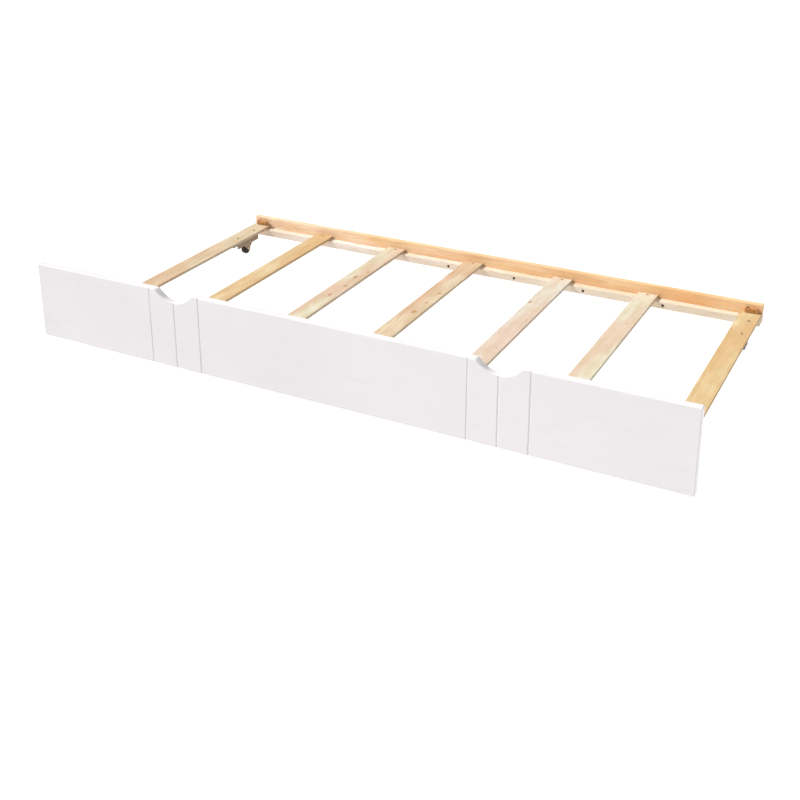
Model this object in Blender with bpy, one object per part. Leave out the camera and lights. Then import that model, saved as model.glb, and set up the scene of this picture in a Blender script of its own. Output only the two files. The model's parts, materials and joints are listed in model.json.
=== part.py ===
"""Trundle bed: a low pull-out bed frame that rolls on four rigid casters.

A painted front panel with two finger notches and a pine rear rail each carry a cleat on the inside.
Seven pine slats lie across the cleats, and the end slats carry the casters and four corner blocks.

Frame: metres, +Z up, +X along the bed, -Y towards the front panel. The origin is on the floor,
under the centre of the bed.
"""

import math

import bmesh
import bpy
from mathutils import Matrix, Vector

# ---- driving dimensions ----

GAP = 0.0003                # clearance left between pieces that touch
CUT_REACH = 0.001           # how far a cutter runs past what it cuts

PANEL_LENGTH = 1.930
PANEL_THICKNESS = 0.022
PANEL_HEIGHT = 0.225
PANEL_BOTTOM = 0.029        # height above the floor
PANEL_EASE = 0.003

NOTCH_OFFSET = 0.480        # from the middle of the panel to the middle of each notch
NOTCH_WIDTH = 0.130
NOTCH_DEPTH = 0.030
NOTCH_SHOULDER_RADIUS = 0.012
NOTCH_SHOULDER_STEPS = 4
NOTCH_BOTTOM_STEPS = 14
GROOVE_OFFSET = 0.082       # from the middle of a notch to its outer grooves
GROOVE_WIDTH = 0.0044
GROOVE_DEPTH = 0.0026

INNER_WIDTH = 1.010         # between the panel and the rear rail
FRAME_LENGTH = 1.812        # of the rail and the cleats

RAIL_THICKNESS = 0.020
RAIL_HEIGHT = 0.058
RAIL_BOTTOM = 0.037
WOOD_EASE = 0.0012

CLEAT_DEPTH = 0.028
CLEAT_HEIGHT = 0.023

SLAT_WIDTH = 0.063
SLAT_THICKNESS = 0.009
SLAT_END_CENTRE = 0.8745    # from the middle of the bed to the middle of an end slat
SLAT_CENTRES = (-SLAT_END_CENTRE, -0.614, -0.325, -0.035, 0.277, 0.558, SLAT_END_CENTRE)

SCREW_HEAD_RADIUS = 0.0042
SCREW_HEAD_HEIGHT = 0.0026
SCREW_SHANK_RADIUS = 0.0018
SCREW_SEGMENTS = 10
SCREW_GRIP = 0.013          # how far a screw goes into the last piece it holds
SCREW_INSET = 0.013         # from the rail or the panel to the slat screws
CLEAT_SCREW_PLACES = (-0.874, -0.632, -0.354, -0.118, 0.118, 0.354, 0.612, 0.850)    # along the bed

BLOCK_WIDTH = 0.038
BLOCK_DEPTH = 0.014
BLOCK_HEIGHT = 0.015
BLOCK_EASE = 0.0012
BLOCK_BACK_SCREW_OFFSET = 0.009     # from the middle of the block, along the bed
BLOCK_BACK_SCREW_HEIGHT = 0.0075
BLOCK_DOWN_SCREW_OFFSET = -0.010

WHEEL_RADIUS = 0.019
WHEEL_WIDTH = 0.015
TREAD_THICKNESS = 0.0045
TREAD_SEGMENTS = 32
TREAD_EDGE_DROP = 0.0018    # the tread's rounded edge, down from its running surface
TREAD_EDGE_WIDTH = 0.0035
TREAD_EDGE_STEPS = 2
CORE_SEGMENTS = 24
RIM_THICKNESS = 0.0025
RIM_INSET = 0.0005          # from the tread's side to the core's
WEB_RECESS = 0.003
HUB_RADIUS = 0.006
HUB_PLAY = 0.0008           # between the hub and each cheek of the bracket
AXLE_RADIUS = 0.003
AXLE_HEAD_RADIUS = 0.0045
AXLE_HEAD_HEIGHT = 0.0018
AXLE_HEAD_SIDE = 0.0008
AXLE_SEGMENTS = 16

CASTER_INSET = 0.125        # from the rail or the panel to the axle
CASTER_SHIFT = 0.006        # from the middle of the slat to the caster, along the bed
SHEET = 0.002               # thickness of the pressed bracket
BRACKET_LENGTH = 0.128
BRACKET_INNER_WIDTH = 0.019
SKIRT_DEPTH = 0.025
DROP_HALF_LENGTH = 0.024    # half the length of the cheek where its drop to the axle starts
BOSS_RADIUS = 0.0065
BOSS_STEPS = 8
BOLT_OFFSET = 0.050         # from the axle, along the bracket
BOLT_RADIUS = 0.0025
BOLT_HEAD_RADIUS = 0.0048
BOLT_HEAD_HEIGHT = 0.0022
BOLT_HEAD_SIDE = 0.0006
BOLT_REACH = 0.0055         # how far a bolt stands out under the plate
BOLT_SEGMENTS = 12

# ---- worked-out places ----

HALF_DEPTH = (PANEL_THICKNESS + INNER_WIDTH + RAIL_THICKNESS) / 2
PANEL_BACK = -HALF_DEPTH + PANEL_THICKNESS
RAIL_FACE = HALF_DEPTH - RAIL_THICKNESS
PANEL_TOP = PANEL_BOTTOM + PANEL_HEIGHT
RAIL_TOP = RAIL_BOTTOM + RAIL_HEIGHT
CLEAT_TOP = RAIL_BOTTOM + CLEAT_HEIGHT
SLAT_BOTTOM = CLEAT_TOP + GAP
SLAT_TOP = SLAT_BOTTOM + SLAT_THICKNESS
BLOCK_BOTTOM = SLAT_TOP + GAP
BRACKET_TOP = SLAT_BOTTOM - GAP
ENDS = {"left": -SLAT_END_CENTRE, "right": SLAT_END_CENTRE}
# Each side's inner face, and the direction from that face towards the middle of the bed.
SIDES = {"front": (PANEL_BACK, 1), "rear": (RAIL_FACE, -1)}
# The tread stands on one of its flats, a little nearer the axle than its corners.
AXLE_HEIGHT = WHEEL_RADIUS * math.cos(math.pi / TREAD_SEGMENTS)

# Placements: as drawn, outlines drawn in the XZ and YZ planes, and turned shapes laid along X.
AS_DRAWN = Matrix.Identity(4)
OUTLINE_IN_XZ = Matrix(((1, 0, 0, 0), (0, 0, 1, 0), (0, 1, 0, 0), (0, 0, 0, 1)))
OUTLINE_IN_YZ = Matrix(((0, 0, 1, 0), (1, 0, 0, 0), (0, 1, 0, 0), (0, 0, 0, 1)))
ALONG_X = Matrix.Rotation(math.radians(90), 4, "Y")


# ---- scene, materials and objects ----

def clear_scene():
    for obj in list(bpy.data.objects):
        bpy.data.objects.remove(obj, do_unlink=True)


def material(name, colour, roughness, metallic=0.0):
    made = bpy.data.materials.new(name)
    made.use_nodes = True
    shader = made.node_tree.nodes["Principled BSDF"]
    shader.inputs["Base Color"].default_value = (*colour, 1.0)
    shader.inputs["Roughness"].default_value = roughness
    shader.inputs["Metallic"].default_value = metallic
    return made


def add_object(name, bm, finish=None, location=(0, 0, 0)):
    """Turns a bmesh into a scene object with its faces pointing out."""
    bmesh.ops.recalc_face_normals(bm, faces=bm.faces)
    mesh = bpy.data.meshes.new(name)
    bm.to_mesh(mesh)
    bm.free()
    obj = bpy.data.objects.new(name, mesh)
    obj.location = location
    bpy.context.collection.objects.link(obj)
    if finish:
        mesh.materials.append(finish)
    return obj


def shade_round(obj, sharp_degrees=35):
    obj.data.shade_smooth()
    obj.data.set_sharp_from_angle(angle=math.radians(sharp_degrees))


def bevel(obj, width, segments=1):
    modifier = obj.modifiers.new("eased_edges", "BEVEL")
    modifier.width = width
    modifier.segments = segments
    modifier.limit_method = "ANGLE"


def cut(pieces, name, bm):
    """Makes a hidden cutter and subtracts it from each of the pieces."""
    cutter = add_object(name, bm)
    cutter.hide_render = True
    cutter.display_type = "WIRE"
    for piece in pieces:
        modifier = piece.modifiers.new(name, "BOOLEAN")
        modifier.operation = "DIFFERENCE"
        modifier.solver = "EXACT"
        modifier.object = cutter
    return cutter


# ---- shapes ----

def box_bmesh(low, high):
    """A box between two corners."""
    size = [b - a for a, b in zip(low, high)]
    middle = [(a + b) / 2 for a, b in zip(low, high)]
    bm = bmesh.new()
    bmesh.ops.create_cube(bm, size=1, matrix=Matrix.Translation(middle) @ Matrix.Diagonal((*size, 1)))
    return bm


def box(name, low, high, finish):
    """A box object whose origin is its own centre."""
    middle = [(a + b) / 2 for a, b in zip(low, high)]
    local_low = [a - c for a, c in zip(low, middle)]
    local_high = [b - c for b, c in zip(high, middle)]
    return add_object(name, box_bmesh(local_low, local_high), finish, middle)


def prism_bmesh(outline, depth, matrix=AS_DRAWN):
    """Extrudes an outline of (x, y) points from z = 0 to z = depth."""
    bm = bmesh.new()
    face = bm.faces.new([bm.verts.new((x, y, 0)) for x, y in outline])
    extruded = bmesh.ops.extrude_face_region(bm, geom=[face])["geom"]
    moved = [item for item in extruded if isinstance(item, bmesh.types.BMVert)]
    bmesh.ops.translate(bm, vec=(0, 0, depth), verts=moved)
    bm.transform(matrix)
    return bm


def turned_bmesh(profile, segments, matrix=AS_DRAWN):
    """Turns a profile of (radius, height) points about Z.

    A profile that starts and ends on the axis makes a solid; any other is closed into a ring.
    """
    solid = profile[0][0] == 0
    bm = bmesh.new()
    rings = []
    for radius, height in profile:
        if radius == 0:
            rings.append([bm.verts.new((0, 0, height))] * segments)
            continue
        angles = [2 * math.pi * step / segments for step in range(segments)]
        rings.append([bm.verts.new((radius * math.cos(a), radius * math.sin(a), height)) for a in angles])
    pairs = list(zip(rings, rings[1:]))
    if not solid:
        pairs.append((rings[-1], rings[0]))
    for upper, lower in pairs:
        for step in range(segments):
            following = (step + 1) % segments
            corners = [upper[step], lower[step], lower[following], upper[following]]
            bm.faces.new(list(dict.fromkeys(corners)))
    bm.transform(matrix)
    return bm


def gather(bmeshes):
    """Joins several bmeshes into one that keeps them as separate bodies."""
    joined = bmesh.new()
    for bm in bmeshes:
        mesh = bpy.data.meshes.new("part_of_group")
        bm.to_mesh(mesh)
        bm.free()
        joined.from_mesh(mesh)
        bpy.data.meshes.remove(mesh)
    return joined


def arc(centre, radius, start_degrees, end_degrees, steps):
    points = []
    for step in range(steps + 1):
        angle = math.radians(start_degrees + (end_degrees - start_degrees) * step / steps)
        points.append((centre[0] + radius * math.cos(angle), centre[1] + radius * math.sin(angle)))
    return points


def dome(radius, side, height):
    """The profile of a low round head: its crown from the middle out, then down its side to z = 0."""
    angles = [math.radians(degrees) for degrees in (60, 30, 0)]
    crown = [(radius * math.cos(a), side + (height - side) * math.sin(a)) for a in angles]
    return [(0, height), *crown, (radius, 0)]


def mirrored(half_profile):
    """A profile that starts above z = 0, followed by its own mirror image below."""
    return half_profile + [(radius, -height) for radius, height in reversed(half_profile)]


# ---- fasteners ----

def facing(position, direction):
    """A placement at a point, with local +Z turned along a direction."""
    turn = direction.to_track_quat("Z", "Y").to_matrix().to_4x4()
    return Matrix.Translation(position) @ turn


def screw_profile(length):
    """A countersunk wood screw: the head's top is at z = 0 and the tip is at z = -length."""
    return [
        (0, 0),
        (SCREW_HEAD_RADIUS, 0),
        (SCREW_SHANK_RADIUS, -SCREW_HEAD_HEIGHT),
        (SCREW_SHANK_RADIUS, -length + 2 * SCREW_SHANK_RADIUS),
        (0, -length),
    ]


def screw_hole_profile(length):
    """The space that a screw needs, with the usual clearance, open above the head."""
    return [
        (0, 2 * GAP),
        (SCREW_HEAD_RADIUS + 2 * GAP, 2 * GAP),
        (SCREW_HEAD_RADIUS + 2 * GAP, -GAP),
        (SCREW_SHANK_RADIUS + GAP, -SCREW_HEAD_HEIGHT - GAP),
        (SCREW_SHANK_RADIUS + GAP, -length - 2 * GAP),
        (0, -length - 2 * GAP),
    ]


def fastener(name, profile, segments, place, finish):
    """One turned fastener, drawn about its own origin and put in its place."""
    obj = add_object(name, turned_bmesh(profile, segments), finish)
    obj.matrix_world = place
    shade_round(obj)


def screw(name, place, length, finish):
    fastener(name, screw_profile(length), SCREW_SEGMENTS, place, finish)


def drill(pieces, name, places, length):
    """Drills the same screws' holes in each of several pieces."""
    holes = [turned_bmesh(screw_hole_profile(length), SCREW_SEGMENTS, place) for place in places]
    cut(pieces, name, gather(holes))


# ---- wooden frame ----

def notch_outline(centre):
    """One finger notch in the panel's top edge: two shoulders that run into a round bottom."""
    slope = 2 * math.atan2(NOTCH_DEPTH, NOTCH_WIDTH / 2)
    bottom_radius = NOTCH_WIDTH / 2 / math.sin(slope) - NOTCH_SHOULDER_RADIUS
    turn = math.degrees(slope)
    shoulder_z = PANEL_TOP - NOTCH_SHOULDER_RADIUS
    left = (centre - NOTCH_WIDTH / 2, shoulder_z)
    right = (centre + NOTCH_WIDTH / 2, shoulder_z)
    bottom = (centre, PANEL_TOP - NOTCH_DEPTH + bottom_radius)
    return (
        arc(left, NOTCH_SHOULDER_RADIUS, 90, 90 - turn, NOTCH_SHOULDER_STEPS)
        + arc(bottom, bottom_radius, 270 - turn, 270 + turn, NOTCH_BOTTOM_STEPS)[1:-1]
        + arc(right, NOTCH_SHOULDER_RADIUS, 90 + turn, 90, NOTCH_SHOULDER_STEPS)
    )


def groove_bmesh(x):
    """The V-shaped space of one full-height groove in the panel's front face."""
    mouth = -HALF_DEPTH - CUT_REACH
    half_width = GROOVE_WIDTH / 2 * (GROOVE_DEPTH + CUT_REACH) / GROOVE_DEPTH
    outline = [(x - half_width, mouth), (x + half_width, mouth), (x, GROOVE_DEPTH - HALF_DEPTH)]
    start = Matrix.Translation((0, 0, PANEL_BOTTOM - CUT_REACH))
    return prism_bmesh(outline, PANEL_HEIGHT + 2 * CUT_REACH, start)


def build_front_panel(finish):
    half = PANEL_LENGTH / 2
    outline = (
        [(-half, PANEL_BOTTOM), (-half, PANEL_TOP)]
        + notch_outline(-NOTCH_OFFSET)
        + notch_outline(NOTCH_OFFSET)
        + [(half, PANEL_TOP), (half, PANEL_BOTTOM)]
    )
    bm = prism_bmesh(outline, PANEL_THICKNESS, OUTLINE_IN_XZ)
    bmesh.ops.translate(bm, vec=(0, -PANEL_THICKNESS / 2, 0), verts=bm.verts)
    panel = add_object("front_panel", bm, finish, (0, PANEL_BACK - PANEL_THICKNESS / 2, 0))
    bevel(panel, PANEL_EASE, 2)
    grooves = [
        groove_bmesh(notch + offset)
        for notch in (-NOTCH_OFFSET, NOTCH_OFFSET)
        for offset in (-GROOVE_OFFSET, 0, GROOVE_OFFSET)
    ]
    cut([panel], "cutter_grooves", gather(grooves))
    return panel


def build_rear_rail(finish):
    low = (-FRAME_LENGTH / 2, RAIL_FACE, RAIL_BOTTOM)
    high = (FRAME_LENGTH / 2, RAIL_FACE + RAIL_THICKNESS, RAIL_TOP)
    rail = box("rear_rail", low, high, finish)
    bevel(rail, WOOD_EASE)
    return rail


def from_side(side, near, far):
    """The two Y values of a piece that lies between two distances from a side's inner face."""
    face, inward = SIDES[side]
    return sorted((face + inward * near, face + inward * far))


def build_cleat(side, finish):
    low_y, high_y = from_side(side, GAP, GAP + CLEAT_DEPTH)
    low = (-FRAME_LENGTH / 2, low_y, RAIL_BOTTOM)
    high = (FRAME_LENGTH / 2, high_y, CLEAT_TOP)
    cleat = box(f"{side}_cleat", low, high, finish)
    bevel(cleat, WOOD_EASE)
    return cleat


def build_slat(number, centre, finish):
    low = (centre - SLAT_WIDTH / 2, PANEL_BACK + GAP, SLAT_BOTTOM)
    high = (centre + SLAT_WIDTH / 2, RAIL_FACE - GAP, SLAT_TOP)
    slat = box(f"slat_{number}", low, high, finish)
    bevel(slat, WOOD_EASE)
    return slat


def build_corner_block(side, end, finish):
    low_y, high_y = from_side(side, GAP, GAP + BLOCK_DEPTH)
    low = (ENDS[end] - BLOCK_WIDTH / 2, low_y, BLOCK_BOTTOM)
    high = (ENDS[end] + BLOCK_WIDTH / 2, high_y, BLOCK_BOTTOM + BLOCK_HEIGHT)
    block = box(f"corner_block_{side}_{end}", low, high, finish)
    bevel(block, BLOCK_EASE)
    return block


# ---- screws that hold the frame together ----

def join_slats_to_cleat(side, slats, cleat, finish):
    """One screw down through the end of each slat between the two end slats."""
    face, inward = SIDES[side]
    y = face + inward * SCREW_INSET
    length = SLAT_THICKNESS + SCREW_GRIP
    places = [facing((x, y, SLAT_TOP - GAP), Vector((0, 0, 1))) for x in SLAT_CENTRES[1:-1]]
    for number, place in enumerate(places, start=2):
        screw(f"slat_screw_{side}_{number}", place, length, finish)
    drill([*slats[1:-1], cleat], f"cutter_slat_screws_{side}", places, length)


def drill_cleat(side, cleat, backing):
    """The row of countersunk holes that fixes a cleat to the panel or the rail."""
    face, inward = SIDES[side]
    y = face + inward * CLEAT_DEPTH
    z = RAIL_BOTTOM + CLEAT_HEIGHT / 2
    places = [facing((x, y, z), Vector((0, inward, 0))) for x in CLEAT_SCREW_PLACES]
    drill([cleat, backing], f"cutter_cleat_screws_{side}", places, CLEAT_DEPTH + SCREW_GRIP)


def join_corner_block(side, end, block, slat, cleat, backing, finishes):
    """A dark screw down through the block and the slat, and a brass one back into the panel or the rail."""
    face, inward = SIDES[side]
    down_at = (
        ENDS[end] + BLOCK_DOWN_SCREW_OFFSET,
        face + inward * BLOCK_DEPTH / 2,
        BLOCK_BOTTOM + BLOCK_HEIGHT - GAP,
    )
    back_at = (
        ENDS[end] + BLOCK_BACK_SCREW_OFFSET,
        face + inward * BLOCK_DEPTH,
        BLOCK_BOTTOM + BLOCK_BACK_SCREW_HEIGHT,
    )
    down = facing(down_at, Vector((0, 0, 1)))
    back = facing(back_at, Vector((0, inward, 0)))
    down_length = BLOCK_HEIGHT + SLAT_THICKNESS + SCREW_GRIP
    back_length = BLOCK_DEPTH + SCREW_GRIP
    screw(f"corner_screw_down_{side}_{end}", down, down_length, finishes["dark_screw"])
    screw(f"corner_screw_back_{side}_{end}", back, back_length, finishes["brass"])
    drill([block, slat, cleat], f"cutter_down_{side}_{end}", [down], down_length)
    drill([block, backing], f"cutter_back_{side}_{end}", [back], back_length)


# ---- casters: each is modelled about its axle and placed by an empty at the axle's centre ----

def cheek_outline(top):
    """The bracket's side: a skirt along the slat, and a drop that tapers to a round boss at the axle."""
    half = BRACKET_LENGTH / 2
    skirt = top - SKIRT_DEPTH
    corner_angle = math.atan2(skirt, -DROP_HALF_LENGTH)
    touch = corner_angle + math.acos(BOSS_RADIUS / math.hypot(DROP_HALF_LENGTH, skirt))
    touch_degrees = math.degrees(touch)
    return (
        [(-half, top), (-half, skirt), (-DROP_HALF_LENGTH, skirt)]
        + arc((0, 0), BOSS_RADIUS, touch_degrees, 540 - touch_degrees, BOSS_STEPS)
        + [(DROP_HALF_LENGTH, skirt), (half, skirt), (half, top)]
    )


def build_bracket(tag, carrier, finish):
    """A channel of bent sheet: the outline right across, less the space between the two cheeks."""
    top = BRACKET_TOP - AXLE_HEIGHT
    outer = BRACKET_INNER_WIDTH + 2 * SHEET
    bm = prism_bmesh(cheek_outline(top), outer, OUTLINE_IN_YZ)
    bmesh.ops.translate(bm, vec=(-outer / 2, 0, 0), verts=bm.verts)
    bracket = add_object(f"caster_bracket_{tag}", bm, finish)
    bracket.parent = carrier
    inner = BRACKET_INNER_WIDTH / 2
    low = (-inner, -BRACKET_LENGTH, -WHEEL_RADIUS)
    high = (inner, BRACKET_LENGTH, top - SHEET)
    channel = cut([bracket], f"cutter_channel_{tag}", box_bmesh(low, high))
    channel.parent = carrier
    hole = [(0, outer), (AXLE_RADIUS + GAP, outer), (AXLE_RADIUS + GAP, -outer), (0, -outer)]
    axle_hole = cut([bracket], f"cutter_axle_{tag}", turned_bmesh(hole, AXLE_SEGMENTS, ALONG_X))
    axle_hole.parent = carrier
    return bracket


def build_axle(tag, carrier, finish):
    """A plain rivet with a formed head against each cheek."""
    seat = BRACKET_INNER_WIDTH / 2 + SHEET + GAP
    head = dome(AXLE_HEAD_RADIUS, AXLE_HEAD_SIDE, AXLE_HEAD_HEIGHT)
    half_profile = [(radius, seat + height) for radius, height in head] + [(AXLE_RADIUS, seat)]
    profile = mirrored(half_profile)
    axle = add_object(f"caster_axle_{tag}", turned_bmesh(profile, AXLE_SEGMENTS, ALONG_X), finish)
    axle.parent = carrier
    shade_round(axle)


def build_wheel(tag, carrier, core_finish, tread_finish):
    """A moulded core that turns on the rivet, with a soft tread round it."""
    rim = WHEEL_RADIUS - TREAD_THICKNESS - GAP
    rim_inside = rim - RIM_THICKNESS
    hub_half = BRACKET_INNER_WIDTH / 2 - HUB_PLAY
    rim_half = WHEEL_WIDTH / 2 - RIM_INSET
    web_half = rim_half - WEB_RECESS
    core_profile = mirrored([
        (AXLE_RADIUS + GAP, hub_half),
        (HUB_RADIUS, hub_half),
        (HUB_RADIUS, web_half),
        (rim_inside, web_half),
        (rim_inside, rim_half),
        (rim, rim_half),
    ])
    core_ring = turned_bmesh(core_profile, CORE_SEGMENTS, ALONG_X)
    core = add_object(f"caster_wheel_{tag}", core_ring, core_finish)

    edge = []
    for step in range(TREAD_EDGE_STEPS + 1):
        angle = math.radians(90) * step / TREAD_EDGE_STEPS
        drop = TREAD_EDGE_DROP * (1 - math.sin(angle))
        inset = TREAD_EDGE_WIDTH * (1 - math.cos(angle))
        edge.append((WHEEL_RADIUS - drop, WHEEL_WIDTH / 2 - inset))
    tread_profile = mirrored([(WHEEL_RADIUS - TREAD_THICKNESS, WHEEL_WIDTH / 2), *edge])
    half_step = Matrix.Rotation(math.pi / TREAD_SEGMENTS, 4, "Z")
    tread_ring = turned_bmesh(tread_profile, TREAD_SEGMENTS, ALONG_X @ half_step)
    tread = add_object(f"caster_tread_{tag}", tread_ring, tread_finish)

    for obj in (core, tread):
        obj.parent = carrier
        shade_round(obj)


def bolt_bracket(tag, places, bracket, slat, finish):
    """Two bolts with low round heads on the slat, long enough for a nut under the bracket's plate."""
    tip = BRACKET_TOP - SHEET - BOLT_REACH - SLAT_TOP
    head = dome(BOLT_HEAD_RADIUS, BOLT_HEAD_SIDE, BOLT_HEAD_HEIGHT)
    bolt_profile = [*head, (BOLT_RADIUS, 0), (BOLT_RADIUS, tip), (0, tip)]
    hole_radius = BOLT_RADIUS + GAP
    hole_profile = [(0, GAP), (hole_radius, GAP), (hole_radius, tip - GAP), (0, tip - GAP)]
    seats = [Matrix.Translation((x, y, SLAT_TOP + GAP)) for x, y in places]
    for number, seat in enumerate(seats, start=1):
        fastener(f"caster_bolt_{tag}_{number}", bolt_profile, BOLT_SEGMENTS, seat, finish)
    holes = [turned_bmesh(hole_profile, BOLT_SEGMENTS, seat) for seat in seats]
    cut([slat, bracket], f"cutter_bolts_{tag}", gather(holes))


def build_caster(side, end, slat, finishes):
    face, inward = SIDES[side]
    tag = f"{side}_{end}"
    x = ENDS[end] + CASTER_SHIFT
    y = face + inward * CASTER_INSET
    carrier = bpy.data.objects.new(f"axle_centre_{tag}", None)
    carrier.location = (x, y, AXLE_HEIGHT)
    bpy.context.collection.objects.link(carrier)
    bracket = build_bracket(tag, carrier, finishes["bracket"])
    build_axle(tag, carrier, finishes["steel"])
    build_wheel(tag, carrier, finishes["wheel"], finishes["tread"])
    places = [(x, y - BOLT_OFFSET), (x, y + BOLT_OFFSET)]
    bolt_bracket(tag, places, bracket, slat, finishes["steel"])


# ---- the whole bed ----

def make_finishes():
    return {
        "paint": material("white_satin_paint", (0.83, 0.82, 0.81), 0.38),
        "pine_slat": material("pale_pine", (0.80, 0.60, 0.38), 0.55),
        "pine_rail": material("orange_pine", (0.76, 0.48, 0.24), 0.5),
        "pine_cleat": material("whitish_pine", (0.82, 0.66, 0.46), 0.58),
        "block": material("brown_plastic", (0.25, 0.13, 0.06), 0.45),
        "brass": material("brass_plated_screw", (0.72, 0.52, 0.22), 0.35, 1.0),
        "dark_screw": material("dark_screw", (0.16, 0.14, 0.12), 0.4, 1.0),
        "bracket": material("brown_grey_steel", (0.32, 0.27, 0.22), 0.42, 1.0),
        "steel": material("bright_zinc", (0.62, 0.62, 0.60), 0.32, 1.0),
        "wheel": material("black_nylon", (0.03, 0.03, 0.032), 0.4),
        "tread": material("black_rubber", (0.02, 0.02, 0.02), 0.75),
    }


def build():
    clear_scene()
    finishes = make_finishes()
    backing = {
        "front": build_front_panel(finishes["paint"]),
        "rear": build_rear_rail(finishes["pine_rail"]),
    }
    cleats = {side: build_cleat(side, finishes["pine_cleat"]) for side in SIDES}
    slats = [
        build_slat(number, centre, finishes["pine_slat"])
        for number, centre in enumerate(SLAT_CENTRES, start=1)
    ]
    end_slats = {"left": slats[0], "right": slats[-1]}
    for side in SIDES:
        join_slats_to_cleat(side, slats, cleats[side], finishes["brass"])
        drill_cleat(side, cleats[side], backing[side])
        for end, slat in end_slats.items():
            block = build_corner_block(side, end, finishes["block"])
            join_corner_block(side, end, block, slat, cleats[side], backing[side], finishes)
            build_caster(side, end, slat, finishes)


build()
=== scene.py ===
"""Trundle bed: the looks of a low pull-out bed frame that rolls on four casters.

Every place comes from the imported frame. Boards get eased arrises, drilled holes and solid growth-ring
pine, the panel its notches and grooves in satin paint, and each caster its pressed bracket, rivet,
moulded wheel, bolts and nuts. Lengths are metres, +Z is up and -Y is the side of the painted panel.
"""

import json
import math

import bmesh
import bpy
from mathutils import Matrix, Vector, noise

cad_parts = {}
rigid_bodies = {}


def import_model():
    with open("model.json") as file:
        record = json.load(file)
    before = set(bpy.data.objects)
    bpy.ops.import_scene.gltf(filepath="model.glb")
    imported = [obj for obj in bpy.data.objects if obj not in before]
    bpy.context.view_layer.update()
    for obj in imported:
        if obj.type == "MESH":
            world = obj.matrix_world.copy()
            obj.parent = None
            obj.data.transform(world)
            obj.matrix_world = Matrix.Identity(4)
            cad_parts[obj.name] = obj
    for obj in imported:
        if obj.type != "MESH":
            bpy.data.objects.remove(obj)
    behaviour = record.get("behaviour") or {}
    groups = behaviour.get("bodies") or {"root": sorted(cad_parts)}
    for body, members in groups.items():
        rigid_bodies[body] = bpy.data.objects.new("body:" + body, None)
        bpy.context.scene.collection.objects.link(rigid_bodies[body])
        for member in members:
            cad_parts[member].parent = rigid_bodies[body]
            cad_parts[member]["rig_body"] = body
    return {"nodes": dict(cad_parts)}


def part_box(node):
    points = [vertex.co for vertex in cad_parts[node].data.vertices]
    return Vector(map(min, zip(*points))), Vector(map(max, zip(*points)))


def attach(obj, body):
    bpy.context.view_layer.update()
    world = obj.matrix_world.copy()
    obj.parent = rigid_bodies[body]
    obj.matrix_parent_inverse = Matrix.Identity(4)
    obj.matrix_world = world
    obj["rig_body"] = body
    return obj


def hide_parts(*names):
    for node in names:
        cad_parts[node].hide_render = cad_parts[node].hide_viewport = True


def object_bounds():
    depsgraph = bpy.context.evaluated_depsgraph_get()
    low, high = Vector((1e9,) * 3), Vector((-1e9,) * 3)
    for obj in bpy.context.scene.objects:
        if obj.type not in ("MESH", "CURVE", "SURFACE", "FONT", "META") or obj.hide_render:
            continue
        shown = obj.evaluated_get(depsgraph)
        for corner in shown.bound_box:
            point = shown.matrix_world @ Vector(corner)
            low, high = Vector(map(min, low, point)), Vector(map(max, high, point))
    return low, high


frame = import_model()
CAD_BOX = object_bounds()

# ---- driving dimensions ----

CLEARANCE = 0.0003          # between a fastener and its hole
SIDES = {"front": 1, "rear": -1}        # each side, and the way from it towards the middle of the bed
END_SLATS = {"left": "slat_1", "right": "slat_7"}       # each end, and the slat that its casters carry
MIDDLE_SLATS = range(2, 7)  # the slats with one screw at each end and no caster
TAGS = [f"{side}_{end}" for side in SIDES for end in END_SLATS]

NOTCH_OFFSET = 0.480        # from the middle of the panel to the middle of each finger notch
NOTCH_WIDTH = 0.130
NOTCH_DEPTH = 0.030
NOTCH_SHOULDER_RADIUS = 0.012
GROOVE_OFFSET = 0.082       # from the middle of a notch to its outer grooves
GROOVE_HALF_WIDTH = 0.0022
GROOVE_DEPTH = 0.0026
GROOVE_LIP = 0.0007         # how far the paint rounds each lip of a groove
GROOVE_STEPS = 12           # across each half of a groove
PANEL_EASE = 0.003

ARRIS = 0.0013
BOARD_WAVE = 0.0002         # how far a sawn face strays from true
LONG_PIECES = 36            # lengths that a long board's mesh is divided into
SLAT_PIECES = 24
BLOCK_EASE = 0.0017
BLOCK_PIECES = 6

SCREW_HEAD_RADIUS = 0.0042
SCREW_HEAD_FLAT = 0.94      # how much of the head's radius is flat
SCREW_RIM = 0.0005          # height of the head's rim
SCREW_HEAD_HEIGHT = 0.0026
SCREW_THREAD_RADIUS = 0.0018
SCREW_CORE_RADIUS = 0.0013
SCREW_PITCH = 0.0022
SCREW_SEGMENTS = 28
SCREW_RECESS = dict(reach=0.0023, width=0.0011, depth=0.0019)
CLEAT_SCREW_PLACES = (-0.874, -0.632, -0.354, -0.118, 0.118, 0.354, 0.612, 0.850)    # along the bed
SCREW_GRIP = 0.013          # how far a screw goes into the last piece it holds

SHEET = 0.002               # thickness of the pressed bracket
SHEET_EASE = 0.0003
BEND_RADIUS = 0.003
SKIRT_DEPTH = 0.025
SKIRT_CORNER_RADIUS = 0.004
DROP_HALF_LENGTH = 0.024    # half the length of the cheek where its drop to the axle starts
DROP_FILLET = 0.005
BOSS_RADIUS = 0.0065
AXLE_RADIUS = 0.003
AXLE_SEGMENTS = 40
HEAD_SIDE = 0.0005          # height of the straight side of a rivet's or bolt's round head
BOLT_RADIUS = 0.0025
BOLT_CORE_RADIUS = 0.0021
BOLT_TIP = 0.8              # the tip's radius, as a share of the core's
BOLT_PITCH = 0.0008
BOLT_THREAD = 0.008         # length of the threaded end
BOLT_RECESS = dict(reach=0.0024, width=0.0011, depth=0.0014)
BOLT_HOLE_REACH = 0.04      # how far a bolt's hole is cut on either side of its seat
NUT_HALF_WIDTH = 0.004
NUT_HEIGHT = 0.004
NUT_CHAMFER = 0.0007
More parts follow.
